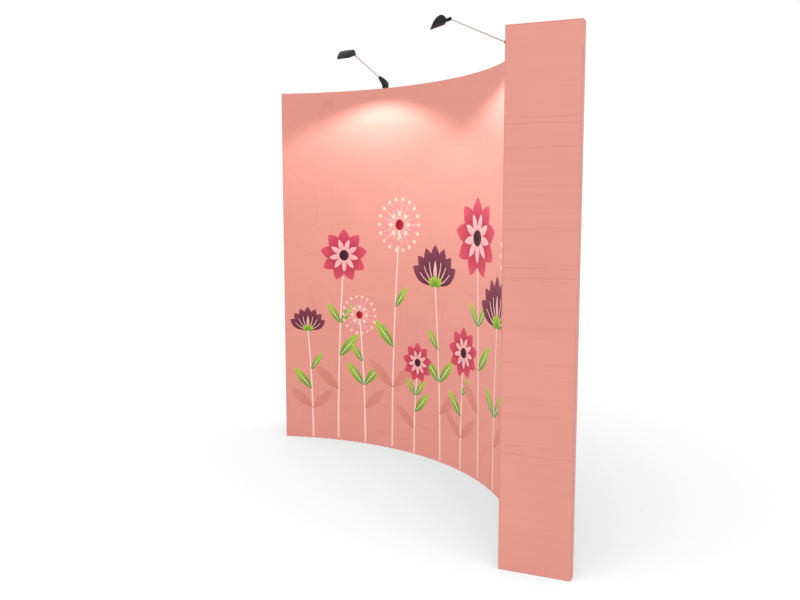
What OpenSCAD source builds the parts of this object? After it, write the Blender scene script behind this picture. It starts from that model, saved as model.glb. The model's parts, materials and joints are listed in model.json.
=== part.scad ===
// Curved pop-up display backwall with end caps and two clip-on floodlights.
// X runs along the wall, Y away from the audience and Z up. The origin is on
// the floor, under the middle of the wall's own footprint. The print is an arc
// about a vertical axis in front of the wall, and "radius" is taken from there.

/* [Wall] */
// Height of the print from the floor to its top edge
wall_height = 2250; // [1800:10:2600]
// Gap under the print and the end caps, so that the feet carry the wall
floor_gap = 1; // [0:0.5:4]
// Radius of the print's front face
face_radius = 1500; // [1200:10:2400]
// Angle that the print spans
wall_angle = 106; // [90:1:116]
// Width of an end cap, from the print's face to the back
end_depth = 310; // [280:5:360]
// Thickness of the stretch fabric of the print and end caps
fabric_t = 1.5; // [0.8:0.1:2]
// Space between fabric and what it hangs on
fabric_gap = 0.3; // [0.2:0.05:0.5]

/* [Bars] */
// Thickness of the corner bars
bar_t = 2; // [1.5:0.1:3]
// Leg of a front corner bar, along the print and along the end cap
front_bar_leg = 25; // [18:1:28]
// Leg of a rear corner bar along the end cap
rear_bar_side_leg = 25; // [18:1:40]
// Leg of a rear corner bar across the back
rear_bar_back_leg = 50; // [46:1:60]
// Width of the fabric strip on the rear bar's outer side
return_strip_w = 34; // [12:1:40]
// Gap between the end of a bar and the print's edge
bar_end_gap = 1; // [1:1:20]
// Thread diameter of the screws that hold the bars to the hubs
bar_screw_d = 4; // [3:0.5:5]
// Length of a bar screw in the hub
bar_screw_l = 10; // [6:1:14]
// Distance of a front bar's screws from the end cap's outer face
front_screw_inset = 18; // [16:1:20]
// Distance of a rear bar's screws from the end cap's outer face
rear_screw_inset = 37; // [30:1:40]

/* [Hubs] */
// Diameter of a hub
hub_d = 60; // [54:1:64]
// Thickness of a hub
hub_t = 24; // [22:1:30]
// Chamfer on a hub's rim
hub_chamfer = 2; // [0.5:0.5:3]
// Height of the foot under each lowest hub
foot_h = 10; // [6:1:20]
// Diameter of a foot
foot_d = 20; // [14:1:22]
// Distance from the print's top edge down to the top of the highest hubs
top_inset = 10; // [8:1:30]
// Angle between the end cap and the last hub column
end_inset_angle = 1.3; // [1.25:0.05:1.6]
// Distance of a tube's pin from its hub's centre
pin_offset = 18; // [17:0.5:20]
// Diameter of a hub pin
pin_d = 4; // [3:0.5:5]
// Length of a hub pin
pin_l = 16; // [12:1:18]
// Clearance of pins, rivets and hinge screws in their holes, on the radius
pin_gap = 0.05; // [0.02:0.01:0.1]
// Material left behind a slot, at the hub's outer face
slot_web = 4; // [3:0.5:5]
// Clearance on each side of a tongue in its slot
slot_gap = 0.3; // [0.2:0.05:0.6]
// Diameter of the hook pads that hold the print
pad_d = 36; // [24:1:44]

/* [Scissor tubes] */
// Outer diameter of a tube
tube_d = 15; // [12:0.5:16]
// Wall of a tube
tube_wall = 1.2; // [0.8:0.1:2]
// Gap between two crossing tubes
cross_gap = 0.5; // [0.4:0.1:1.5]
// Distance from a hub pin to the shoulder that the tube butts against
tube_start = 32; // [30:1:40]
// Length of the moulded shoulder
shoulder_l = 10; // [6:1:11]
// Length of the plug inside the tube
plug_l = 18; // [10:1:30]
// Radial clearance of the plug in the tube
plug_gap = 0.1; // [0.05:0.05:0.3]
// Thickness of a tongue
tongue_t = 5; // [4:0.5:6]
// Width of a tongue
tongue_w = 14; // [12:0.5:14]
// Diameter of a rivet
rivet_d = 4; // [3:0.5:5]
// Diameter of a rivet's head
rivet_head_d = 9; // [7:0.5:12]
// Thickness of a rivet's head
rivet_head_t = 1.5; // [1:0.1:2.5]

/* [Lock arms] */
// Width of a lock arm, along its hinge
lock_w = 16; // [14:1:18]
// Thickness of a lock arm
lock_t = 5; // [4:0.5:6]
// Distance of the hinge from the front hub's inner face
lock_hinge_out = 9; // [9:0.5:12]
// Diameter of the hinge pin
lock_pin_d = 4; // [3:0.5:4]
// Thickness of a hinge ear
ear_t = 3; // [2:0.5:4]
// Side clearance of the arm between its ears
ear_gap = 0.3; // [0.2:0.05:0.5]
// Neck diameter of the stud that the arm hooks over
stud_neck_d = 6; // [5:0.5:7]
// Head diameter of the stud
stud_head_d = 12; // [10:0.5:12]
// Thickness of the stud's head
stud_head_t = 3; // [2:0.5:4]
// Thickness of the hook plate
hook_t = 4; // [3:0.5:6]
// Clearance of the hook around the stud
hook_gap = 0.3; // [0.2:0.05:0.5]
// Length of the hook's open fingers beyond the stud's axis
hook_finger = 10; // [8:1:14]

/* [Lamp socket] */
// Diameter of the accessory socket in each top front hub
socket_d = 8; // [6:0.5:10]
// Depth of the accessory socket
socket_depth = 20; // [16:1:22]
// Diameter of the boss around the socket
socket_boss_d = 22; // [18:1:23]
// Height of the boss above the hub
socket_boss_h = 3; // [2:0.5:4]
// Running clearance of the peg, on the radius
peg_gap = 0.05; // [0.02:0.01:0.1]

/* [Lamp] */
// Width of the lamp bracket
bracket_w = 24; // [20:1:28]
// Width of the bracket at its tip
bracket_tip_w = 12; // [11:1:16]
// Height of the bracket's round collar
collar_h = 11; // [9:1:14]
// Reach of the bracket's back behind its peg
bracket_back = 29; // [24:1:34]
// Reach of the bracket's front face before its peg
bracket_front = 10; // [8:1:11]
// Reach of the bracket's tip before its peg
tip_reach = 57; // [50:1:70]
// Height of the arm's axis at the tip, above the print
tip_rise = 64; // [58:1:74]
// Height of the bracket's front bend, below the arm's axis at the tip
front_bend_drop = 44; // [36:1:48]
// Height of the bracket's back bend, below the arm's axis at the tip
back_bend_drop = 33; // [26:1:40]
// Height of the bracket's throat, below the arm's axis at the tip
throat_drop = 11; // [9:1:14]
// Reach and rise of the front bend's bow
bend_bow = 8; // [2:1:12]
// Length of the slope from the back bend up to the bracket's top
back_slope_l = 21; // [14:1:28]
// Depth of the bracket around the arm's axis at the tip
tip_wall = 4; // [4:0.5:6]
// Chamfer on the bracket's back corners
bracket_chamfer = 3; // [1:0.5:5]
// Diameter of the arm
arm_d = 7; // [6:0.5:8]
// Depth of the arm in the bracket
arm_seat = 24; // [16:1:28]
// Reach of the head's tilt axis before the peg
knuckle_reach = 319; // [260:1:380]
// Height of the head's tilt axis above the print
knuckle_rise = 166; // [140:1:200]
// Diameter of the knuckle
knuckle_d = 14; // [12:1:16]
// Width of the knuckle
knuckle_w = 10; // [8:1:12]
// Diameter of the clamp screw in the knuckle
clamp_d = 4; // [3:0.5:5]
// Diameter of the clamp knob
knob_d = 13; // [11:1:18]
// Length of the clamp knob
knob_l = 9; // [7:1:14]
// Number of grip flutes on the knob
knob_flutes = 10; // [6:1:16]
// Thickness of the ears on the head
head_ear_t = 3.5; // [2.5:0.5:5]
// Side clearance between ear and knuckle
head_ear_gap = 0.2; // [0.1:0.05:0.4]

/* [Lamp head] */
// Width of the head
head_w = 86; // [70:1:110]
// Length of the head's rim
rim_l = 76; // [70:1:96]
// Height of the head above its rim
head_h = 36; // [34:0.5:44]
// Radius of the head's rounded back
head_round = 23.5; // [22:0.5:30]
// Direction in which the rounded back meets the front, from the rear
front_meet_angle = 110; // [100:5:130]
// Length of the front's upper part, before it turns down to the rim
brow_l = 32; // [20:1:40]
// Wall of the head
head_wall = 2.5; // [2:0.1:4]
// Tilt of the rim from level
head_tilt = 20; // [0:1:40]
// Distance of the tilt axis from the rim's near end
neck_l = 25; // [17:0.5:30]
// Height of the tilt axis above the rim
neck_h = 10; // [8:0.5:14]
// Recess of the lens in the rim
lens_inset = 2; // [1:0.5:4]
// Thickness of the lens
lens_t = 2.5; // [2:0.1:4]
// Clearance around the lens, the board and the heat sink
lens_gap = 0.2; // [0.1:0.05:0.4]
// Height of the light board above the lens
board_rise = 6; // [3:0.5:8]
// Thickness of the light board
board_t = 1.6; // [1:0.1:2]
// Length of the light board
board_l = 50; // [40:1:54]
// Edge of the square light emitter
emitter_w = 22; // [12:1:28]
// Number of fins on the heat sink
fin_count = 9; // [4:1:14]
// Thickness of a fin
fin_t = 2; // [1.5:0.1:2.5]
// Width of the heat sink, across the fins
sink_w = 60; // [50:1:66]
// Bore of the lamp's power inlet
inlet_bore_d = 5.5; // [4:0.5:6]
// Outer diameter of the inlet's collar
inlet_d = 9; // [8:0.5:12]

/* [Hidden] */

$fn = 64;

fabric_colour = "#e8a598";
bar_colour = "#c9c6c4";
plastic_colour = "#2b2b2d";
tube_colour = "#b9bcc0";
steel_colour = "#a2a5a8";
lamp_colour = "#303032";

cut = 1; // how far a cut runs past the face that it opens
lap = 1; // how far a joined shape runs into its neighbour

// the lattice
cols = 5;
rows = 4;
lamp_cols = [1, 3];
lock_cols = [1, 2, 3];
lock_rows = [1, 2];
half_angle = wall_angle / 2;
back_radius = face_radius + end_depth;
hub_r = hub_d / 2;
bar_side = fabric_t + fabric_gap;
pad_y = face_radius + bar_side;
front_hub_face = pad_y + bar_t;
front_hub_radius = front_hub_face + hub_t / 2;
// The end hubs face a little away from the end caps' own direction, so a bar
// lies on the edge of their faces that comes first
front_bar_y = front_hub_face * cos(end_inset_angle) - bar_t
    + (front_hub_face * sin(end_inset_angle) - bar_side - front_bar_leg) * tan(end_inset_angle);
rear_bar_y = back_radius - bar_side - bar_t;
rear_hub_face = (rear_bar_y - (hub_r - hub_chamfer) * tan(end_inset_angle)) / cos(end_inset_angle);
rear_hub_radius = rear_hub_face - hub_t / 2;
centre_y = -(face_radius * cos(half_angle) + rear_hub_face) / 2;
column_pitch = (wall_angle - 2 * end_inset_angle) / (cols - 1);
row_low = foot_h + hub_r;
row_top = wall_height - top_inset - hub_r;
row_pitch = (row_top - row_low) / (rows - 1);
foot_rim = 3; // how far a foot's rim rises round its hub
bar_low = floor_gap + bar_end_gap;
bar_high = wall_height - bar_end_gap;
slot_w = tongue_t + 2 * slot_gap;
slot_end_gap = 1.5;
slot_back = tongue_w / 2 + slot_end_gap;
tube_shift = (tube_d + cross_gap) / 2;
bay_half = column_pitch / 2;
front_reach = front_hub_radius * sin(bay_half) - pin_offset * cos(bay_half);
rear_reach = rear_hub_radius * sin(bay_half) - pin_offset * cos(bay_half);
bay_cross = front_reach / (front_reach + rear_reach);
column_cross = 0.5;

// the lock arms, in a frame with its origin at the front hub's centre
hinge_y = hub_t / 2 + lock_hinge_out;
catch_y = rear_hub_radius - front_hub_radius - hub_t / 2;
hook_back_y = catch_y - hook_gap;
stud_neck_l = hook_t + 2 * hook_gap;
stud_head_gap = 0.6;
strip_low = stud_head_d / 2 + stud_head_gap;
strip_high = strip_low + lock_t;
jog_y = 15;
eye_d = 12;
lock_roll = 45; // turns the arm's swing clear of the tubes

// the lamps, in a frame with its origin on the peg's axis, at the floor
boss_top = row_top + hub_r + socket_boss_h;
collar_low = boss_top + head_ear_gap;
collar_high = collar_low + collar_h;
peg_end_gap = 1;
peg_l = socket_depth - peg_end_gap;
knuckle_z = wall_height + knuckle_rise;
tip_z = wall_height + tip_rise;
arm_run = [knuckle_reach - tip_reach, knuckle_z - tip_z];
arm_slope = atan2(arm_run[1], arm_run[0]);
arm_in_knuckle = 3.5;
arm_start = knuckle_d / 2 - arm_in_knuckle;
arm_l = norm(arm_run) + arm_seat - arm_start;
ear_inner = knuckle_w / 2 + head_ear_gap;
ear_outer = ear_inner + head_ear_t;
inlet_depth = 12;
inlet_rise = 12; // of the inlet's axis above the collar
inlet_z = collar_high + inlet_rise;
inlet_proud = 1;
inlet_web = 2; // closes the inlet's inner end
light_w = head_w - 2 * head_wall - 2 * lens_gap;
lens_z = lens_inset - neck_h;
board_z = lens_z + lens_t + board_rise;
board_inset = 2;
board_back = -neck_l - head_wall - board_inset;
ledge_w = 3;
ledge_h = 2;
sink_inset = 4;
front_run = 1.2; // run of the head's front, level with the rim, for each mm of its wall
sink_base_t = 3;
sink_gap = 1;
emitter_t = 1;
flute_d = 2.4;
flute_out = 0.6; // of a flute's axis beyond the knob's rim
flute_start = 1.5;
arc_step = 5; // degrees between the points of the head's round back

function column_angle(c) = -half_angle + end_inset_angle + c * column_pitch;
function row_z(k) = row_low + k * row_pitch;
// A point at a radius and angle, moved sideways along the wall
function wall_point(radius, angle, side, z) = [
    radius * sin(angle) + side * cos(angle),
    centre_y + radius * cos(angle) - side * sin(angle),
    z
];
function curve(a, b, c, n = 8) = [
    for (i = [0:n]) let (t = i / n) (1 - t) * (1 - t) * a + 2 * t * (1 - t) * b + t * t * c
];

// The two links of the scissor in one bay and row: start, end, side and roll
function bay_links(bay, k) = [
    [wall_point(front_hub_radius, column_angle(bay), pin_offset, row_z(k)),
     wall_point(rear_hub_radius, column_angle(bay + 1), -pin_offset, row_z(k)), tube_shift, 0],
    [wall_point(front_hub_radius, column_angle(bay + 1), -pin_offset, row_z(k)),
     wall_point(rear_hub_radius, column_angle(bay), pin_offset, row_z(k)), -tube_shift, 0]
];
function column_links(c, k) = [
    [wall_point(front_hub_radius, column_angle(c), 0, row_z(k) + pin_offset),
     wall_point(rear_hub_radius, column_angle(c), 0, row_z(k + 1) - pin_offset), tube_shift, 90],
    [wall_point(front_hub_radius, column_angle(c), 0, row_z(k + 1) - pin_offset),
     wall_point(rear_hub_radius, column_angle(c), 0, row_z(k) + pin_offset), -tube_shift, 90]
];
all_bay_links = [for (bay = [0:cols - 2], k = [0:rows - 1], l = bay_links(bay, k)) l];
all_column_links = [for (c = [0:cols - 1], k = [0:rows - 2], l = column_links(c, k)) l];

// ---- placing ----
module at_angle(angle) translate([0, centre_y, 0]) rotate([0, 0, -angle]) children();

// X runs from the link's first pin to its second, Z along both pins
module on_link(link) {
    d = link[1] - link[0];
    translate(link[0])
        rotate([0, atan2(-d[2], norm([d[0], d[1]])), atan2(d[1], d[0])])
            rotate([link[3], 0, 0])
                children();
}

// Draws a flat outline of Y and Z, with its thickness along X
module side_profile(width)
    rotate([90, 0, 90]) translate([0, 0, -width / 2]) linear_extrude(width) children();

module along_y(length, diameter) rotate([-90, 0, 0]) cylinder(h = length, d = diameter);
module across_x(length, diameter) rotate([0, 90, 0]) cylinder(h = length, d = diameter, center = true);

// ---- print, end caps and bars ----
module front_graphic() {
    trim = atan(bar_side / face_radius);
    span = wall_angle - 2 * trim;
    color(fabric_colour)
        translate([0, centre_y, floor_gap])
            rotate([0, 0, 90 - span / 2])
                rotate_extrude(angle = span, $fn = 360)
                    translate([face_radius, 0])
                        square([fabric_t, wall_height - floor_gap]);
}

// side is -1 for the left end and 1 for the right end; inner X points into the wall
module at_end(side) at_angle(side * half_angle) mirror([side > 0 ? 1 : 0, 0, 0]) children();

module end_cap(side)
    color(fabric_colour)
        at_end(side)
            translate([0, face_radius, floor_gap])
                cube([fabric_t, end_depth, wall_height - floor_gap]);

module return_strip(side)
    color(fabric_colour)
        at_end(side)
            translate([bar_side + rear_bar_back_leg - return_strip_w, back_radius - fabric_t, bar_low])
                cube([return_strip_w, fabric_t, bar_high - bar_low]);

// A countersunk screw with its head at the origin, pointing along Y
module bar_screw() {
    rotate([-90, 0, 0]) cylinder(h = bar_t, d1 = 2 * bar_screw_d, d2 = bar_screw_d);
    along_y(bar_t + bar_screw_l, bar_screw_d);
}

module front_bar_screws(side)
    at_end(side)
        for (k = [0:rows - 1])
            translate([front_screw_inset, front_bar_y, row_z(k)]) bar_screw();

module rear_bar_screws(side)
    at_end(side)
        for (k = [0:rows - 1])
            translate([rear_screw_inset, rear_bar_y + bar_t, row_z(k)]) mirror([0, 1, 0]) bar_screw();

module front_bar(side)
    color(bar_colour)
        difference() {
            at_end(side)
                translate([bar_side, front_bar_y, bar_low]) {
                    cube([front_bar_leg, bar_t, bar_high - bar_low]);
                    cube([bar_t, front_bar_leg, bar_high - bar_low]);
                }
            front_bar_screws(side);
        }

module rear_bar(side)
    color(bar_colour)
        difference() {
            at_end(side) {
                translate([bar_side, rear_bar_y, bar_low])
                    cube([rear_bar_back_leg, bar_t, bar_high - bar_low]);
                translate([bar_side, rear_bar_y + bar_t - rear_bar_side_leg, bar_low])
                    cube([bar_t, rear_bar_side_leg, bar_high - bar_low]);
            }
            rear_bar_screws(side);
        }

module bar_screws()
    color(steel_colour)
        for (side = [-1, 1]) {
            front_bar_screws(side);
            rear_bar_screws(side);
        }

// ---- hubs ----
// Directions in which a hub's tubes leave: 0 right, 90 up, 180 left, 270 down
function hub_ways(c, k) = concat(
    c < cols - 1 ? [0] : [], k < rows - 1 ? [90] : [], c > 0 ? [180] : [], k > 0 ? [270] : []);

module hub_disc()
    rotate([90, 0, 0])
        rotate_extrude()
            polygon([[0, -hub_t / 2], [hub_r - hub_chamfer, -hub_t / 2],
                     [hub_r, -hub_t / 2 + hub_chamfer], [hub_r, hub_t / 2 - hub_chamfer],
                     [hub_r - hub_chamfer, hub_t / 2], [0, hub_t / 2]]);

// inward is 1 where the hub's open side faces +Y, and -1 where it faces -Y
module hub_slots(c, k, inward)
    for (way = hub_ways(c, k))
        rotate([0, -way, 0]) {
            translate([pin_offset - slot_back, inward > 0 ? -hub_t / 2 + slot_web : -hub_t / 2 - cut,
                       -slot_w / 2])
                cube([hub_r - pin_offset + slot_back + cut, hub_t - slot_web + cut, slot_w]);
            translate([pin_offset, 0, 0])
                cylinder(h = pin_l + 2 * pin_gap, d = pin_d + 2 * pin_gap, center = true);
        }

function has_lock(c, k) = len(search(c, lock_cols)) > 0 && len(search(k, lock_rows)) > 0;

// The lock arm swings in the plane of Y and this frame's X, up to the right
module lock_frame() rotate([0, -lock_roll, 0]) children();

module lock_ears()
    lock_frame()
        for (s = [-1, 1])
            translate([0, 0, s * (lock_w / 2 + ear_gap + ear_t / 2)]) {
                translate([-eye_d / 2, hub_t / 2 - lap, -ear_t / 2])
                    cube([eye_d, lock_hinge_out + lap, ear_t]);
                translate([0, hinge_y, 0]) cylinder(h = ear_t, d = eye_d, center = true);
            }

module lock_pin_bore()
    lock_frame()
        translate([0, hinge_y, 0])
            cylinder(h = lock_w + 2 * (ear_gap + ear_t + cut), d = lock_pin_d, center = true);

module socket_boss()
    cylinder(h = hub_r + socket_boss_h, d = socket_boss_d);

module front_hub(c, k)
    difference() {
        union() {
            hub_disc();
            if (has_lock(c, k)) lock_ears();
            if (k == rows - 1) socket_boss();
        }
        hub_slots(c, k, 1);
        if (has_lock(c, k)) lock_pin_bore();
        if (k == rows - 1)
            translate([0, 0, hub_r + socket_boss_h - socket_depth])
                cylinder(h = socket_depth + cut, d = socket_d);
    }

module rear_hub(c, k)
    difference() {
        hub_disc();
        hub_slots(c, k, -1);
    }

// The bars' screws hold in the end columns only
module end_screw_bores(c)
    if (c == 0 || c == cols - 1) {
        front_bar_screws(c == 0 ? -1 : 1);
        rear_bar_screws(c == 0 ? -1 : 1);
    }

module hubs_column(c)
    color(plastic_colour)
        difference() {
            at_angle(column_angle(c))
                for (k = [0:rows - 1]) {
                    translate([0, front_hub_radius, row_z(k)]) front_hub(c, k);
                    translate([0, rear_hub_radius, row_z(k)]) rear_hub(c, k);
                }
            end_screw_bores(c);
        }

module hook_pads()
    color("#3a3a3c")
        for (c = [1:cols - 2], k = [0:rows - 1])
            at_angle(column_angle(c))
                translate([0, pad_y, row_z(k)])
                    along_y(bar_t, pad_d);

module hub_feet()
    color("#262628")
        for (c = [0:cols - 1], radius = [front_hub_radius, rear_hub_radius])
            at_angle(column_angle(c))
                translate([0, radius, 0])
                    difference() {
                        cylinder(h = foot_h + foot_rim, d = foot_d);
                        translate([0, 0, row_low])
                            rotate([90, 0, 0]) cylinder(h = hub_t, r = hub_r, center = true);
                    }

// ---- scissor tubes ----
module tube(link, cross) {
    length = norm(link[1] - link[0]);
    on_link(link)
        difference() {
            translate([tube_start, 0, link[2]])
                rotate([0, 90, 0])
                    difference() {
                        cylinder(h = length - 2 * tube_start, d = tube_d);
                        translate([0, 0, -cut])
                            cylinder(h = length - 2 * (tube_start - cut), d = tube_d - 2 * tube_wall);
                    }
            translate([cross * length, 0, link[2]])
                cylinder(h = tube_d + 2 * cut, d = rivet_d + 2 * pin_gap, center = true);
        }
}

module bay_tubes(bay)
    color(tube_colour)
        for (k = [0:rows - 1], link = bay_links(bay, k)) tube(link, bay_cross);

module column_tubes(c)
    color(tube_colour)
        for (k = [0:rows - 2], link = column_links(c, k)) tube(link, column_cross);

// A moulded tip: tongue with its pin hole, shoulder, and plug in the tube
module tip(shift) {
    low = min(-tongue_t / 2, shift - tube_d / 2);
    high = max(tongue_t / 2, shift + tube_d / 2);
    difference() {
        union() {
            cylinder(h = tongue_t, d = tongue_w, center = true);
            translate([0, -tongue_w / 2, -tongue_t / 2])
                cube([tube_start - shoulder_l + lap, tongue_w, tongue_t]);
            translate([tube_start - shoulder_l, -tongue_w / 2, low])
                cube([shoulder_l, tongue_w, high - low]);
            translate([tube_start - lap, 0, shift])
                rotate([0, 90, 0])
                    cylinder(h = plug_l + lap, d = tube_d - 2 * tube_wall - 2 * plug_gap);
        }
        cylinder(h = tongue_t + 2 * cut, d = pin_d + 2 * pin_gap, center = true);
    }
}

module tips(links)
    color(plastic_colour)
        for (link = links)
            on_link(link) {
                tip(link[2]);
                translate([norm(link[1] - link[0]), 0, 0]) mirror([1, 0, 0]) tip(link[2]);
            }

module hub_pins()
    color(steel_colour)
        for (link = concat(all_bay_links, all_column_links))
            on_link(link)
                for (x = [0, norm(link[1] - link[0])])
                    translate([x, 0, 0]) cylinder(h = pin_l, d = pin_d, center = true);

module rivet(link, cross) {
    half = tube_shift + tube_d / 2;
    on_link(link)
        translate([cross * norm(link[1] - link[0]), 0, 0]) {
            cylinder(h = 2 * half, d = rivet_d, center = true);
            for (s = [-1, 1])
                translate([0, 0, s * (half + rivet_head_t / 2)])
                    cylinder(h = rivet_head_t, d = rivet_head_d, center = true);
        }
}

module scissor_rivets()
    color(steel_colour) {
        for (bay = [0:cols - 2], k = [0:rows - 1]) rivet(bay_links(bay, k)[0], bay_cross);
        for (c = [0:cols - 1], k = [0:rows - 2]) rivet(column_links(c, k)[0], column_cross);
    }

// ---- lock arms ----
// Lock arms are counted along the lower row first, then along the upper row
module at_lock(n)
    at_angle(column_angle(lock_cols[(n - 1) % len(lock_cols)]))
        translate([0, front_hub_radius, row_z(lock_rows[floor((n - 1) / len(lock_cols))])])
            lock_frame()
                children();

module lock_arm(n)
    color(plastic_colour)
        at_lock(n)
            difference() {
                union() {
                    translate([0, hinge_y, 0]) cylinder(h = lock_w, d = eye_d, center = true);
                    translate([-lock_t / 2, hinge_y, -lock_w / 2])
                        cube([lock_t, jog_y + lock_t, lock_w]);
                    translate([-lock_t / 2, hinge_y + jog_y, -lock_w / 2])
                        cube([strip_high + lock_t / 2, lock_t, lock_w]);
                    translate([strip_low, hinge_y + jog_y, -lock_w / 2])
                        cube([lock_t, hook_back_y - hinge_y - jog_y, lock_w]);
                    translate([-hook_finger, hook_back_y - hook_t, -lock_w / 2])
                        cube([hook_finger + strip_high, hook_t, lock_w]);
                }
                translate([0, hinge_y, 0])
                    cylinder(h = lock_w + 2 * cut, d = lock_pin_d + 2 * pin_gap, center = true);
                translate([0, hook_back_y - hook_t - cut, 0])
                    along_y(hook_t + 2 * cut, stud_neck_d + 2 * hook_gap);
                translate([-hook_finger - cut, hook_back_y - hook_t - cut, -stud_neck_d / 2 - hook_gap])
                    cube([hook_finger + cut, hook_t + 2 * cut, stud_neck_d + 2 * hook_gap]);
            }

module lock_hinge_pins()
    color(steel_colour)
        for (n = [1:len(lock_cols) * len(lock_rows)])
            at_lock(n)
                translate([0, hinge_y, 0])
                    cylinder(h = lock_w + 2 * (ear_gap + ear_t), d = lock_pin_d, center = true);

module lock_studs()
    color(steel_colour)
        for (n = [1:len(lock_cols) * len(lock_rows)])
            at_lock(n) {
                translate([0, catch_y - stud_neck_l, 0]) along_y(stud_neck_l, stud_neck_d);
                translate([0, catch_y - stud_neck_l - stud_head_t, 0])
                    along_y(stud_head_t, stud_head_d);
            }

// ---- lamps ----
module at_lamp(side)
    at_angle(column_angle(lamp_cols[side < 0 ? 0 : 1]))
        translate([0, front_hub_radius, 0])
            children();

bracket_outline = concat(
    [[bracket_back, collar_high]],
    [[-bracket_front, collar_high]],
    curve([-bracket_front, tip_z - front_bend_drop],
          [-bracket_front - bend_bow, tip_z - front_bend_drop + bend_bow],
          [-tip_reach + tip_wall, tip_z - throat_drop]),
    curve([-tip_reach, tip_z - tip_wall], [-tip_reach - tip_wall, tip_z],
          [-tip_reach, tip_z + tip_wall], 4),
    curve([-tip_reach + tip_wall, tip_z + tip_wall],
          [bracket_back - back_slope_l, tip_z - throat_drop],
          [bracket_back, tip_z - back_bend_drop], 12)
);

bracket_plan = [
    [-bracket_tip_w / 2, -tip_reach - tip_wall], [bracket_tip_w / 2, -tip_reach - tip_wall],
    [bracket_w / 2, -bracket_front], [bracket_w / 2, bracket_back - bracket_chamfer],
    [bracket_w / 2 - bracket_chamfer, bracket_back], [-bracket_w / 2 + bracket_chamfer, bracket_back],
    [-bracket_w / 2, bracket_back - bracket_chamfer], [-bracket_w / 2, -bracket_front]
];

module arm_frame() translate([0, -knuckle_reach, knuckle_z]) rotate([-arm_slope, 0, 0]) children();

module lamp_bracket(side)
    color(lamp_colour)
        at_lamp(side)
            difference() {
                union() {
                    intersection() {
                        side_profile(bracket_w) polygon(bracket_outline);
                        linear_extrude(tip_z + 2 * tip_wall) polygon(bracket_plan);
                    }
                    translate([0, 0, collar_low]) cylinder(h = collar_h + lap, d = socket_boss_d);
                    translate([0, 0, collar_low - peg_l])
                        cylinder(h = peg_l + lap, d = socket_d - 2 * peg_gap);
                }
                arm_frame() translate([0, arm_start, 0]) along_y(arm_l, arm_d);
                translate([0, bracket_back - inlet_depth, inlet_z]) along_y(inlet_depth + cut, inlet_d);
            }

module lamp_inlet(side)
    color("#141415")
        at_lamp(side)
            translate([0, bracket_back - inlet_depth, inlet_z])
                difference() {
                    along_y(inlet_depth + inlet_proud, inlet_d);
                    translate([0, inlet_web, 0]) along_y(inlet_depth, inlet_bore_d);
                }

module lamp_arm(side)
    color("#cfc8c5")
        at_lamp(side)
            arm_frame()
                translate([0, arm_start, 0])
                    along_y(arm_l, arm_d);

module lamp_knuckle(side)
    color(lamp_colour)
        at_lamp(side)
            arm_frame()
                difference() {
                    across_x(knuckle_w, knuckle_d);
                    across_x(knuckle_w + 2 * cut, clamp_d + 2 * pin_gap);
                    translate([0, arm_start, 0]) along_y(knuckle_d, arm_d);
                }

// Y runs along the rim towards the wall and Z out through the head's back
module head_frame()
    translate([0, -knuckle_reach, knuckle_z]) rotate([head_tilt, 0, 0]) children();

// The head's section, drawn inward by a margin: a bowed front that runs into a
// round back
module head_section(margin = 0) {
    r = head_round - margin;
    middle = [-neck_l - head_round, head_h - neck_h - head_round];
    meet = middle + r * [cos(front_meet_angle), sin(front_meet_angle)];
    low = -neck_h - (margin > 0 ? cut : 0);
    polygon(concat(
        curve([-neck_l - rim_l + margin * front_run, low],
              meet + brow_l * [-sin(front_meet_angle), cos(front_meet_angle)], meet),
        [for (a = [front_meet_angle - arc_step:-arc_step:0]) middle + r * [cos(a), sin(a)]],
        [[-neck_l - margin, low]]
    ));
}

module lamp_head(side)
    color(lamp_colour)
        at_lamp(side)
            head_frame()
                difference() {
                    union() {
                        difference() {
                            side_profile(head_w) head_section();
                            side_profile(head_w - 2 * head_wall) head_section(head_wall);
                        }
                        for (s = [-1, 1])
                            translate([s * (ear_inner + ear_outer) / 2, 0, 0]) {
                                across_x(head_ear_t, knuckle_d);
                                translate([-head_ear_t / 2, -neck_l - head_wall / 2, -knuckle_d / 2])
                                    cube([head_ear_t, neck_l + head_wall / 2, knuckle_d]);
                            }
                        for (s = [-1, 1])
                            translate([s * (head_w - ledge_w) / 2 - s * head_wall - ledge_w / 2,
                                       board_back - board_l, board_z - ledge_h])
                                cube([ledge_w, board_l, ledge_h]);
                    }
                    across_x(2 * (ear_outer + cut), clamp_d + 2 * pin_gap);
                }

module lamp_lens(side)
    color("#1b1b1d", 0.8)
        at_lamp(side)
            head_frame()
                intersection() {
                    side_profile(light_w) head_section(head_wall + lens_gap);
                    translate([-head_w / 2, -neck_l - rim_l, lens_z])
                        cube([head_w, rim_l, lens_t]);
                }

module lamp_light_board(side)
    color("#e9e7df")
        at_lamp(side)
            head_frame() {
                translate([-light_w / 2, board_back - board_l, board_z])
                    cube([light_w, board_l, board_t]);
                translate([-emitter_w / 2, board_back - (board_l + emitter_w) / 2, board_z - emitter_t])
                    cube([emitter_w, emitter_w, emitter_t]);
            }

// Fins on a base, trimmed to the room under the head's back
module lamp_heat_sink(side)
    color("#b4b6b8")
        at_lamp(side)
            head_frame()
                intersection() {
                    side_profile(sink_w) head_section(head_wall + sink_gap);
                    translate([-sink_w / 2, board_back - board_l + sink_inset, board_z + board_t])
                        union() {
                            cube([sink_w, board_l - 2 * sink_inset, sink_base_t]);
                            for (i = [0:fin_count - 1])
                                translate([i * (sink_w - fin_t) / (fin_count - 1), 0, 0])
                                    cube([fin_t, board_l - 2 * sink_inset, head_h]);
                        }
                }

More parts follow.
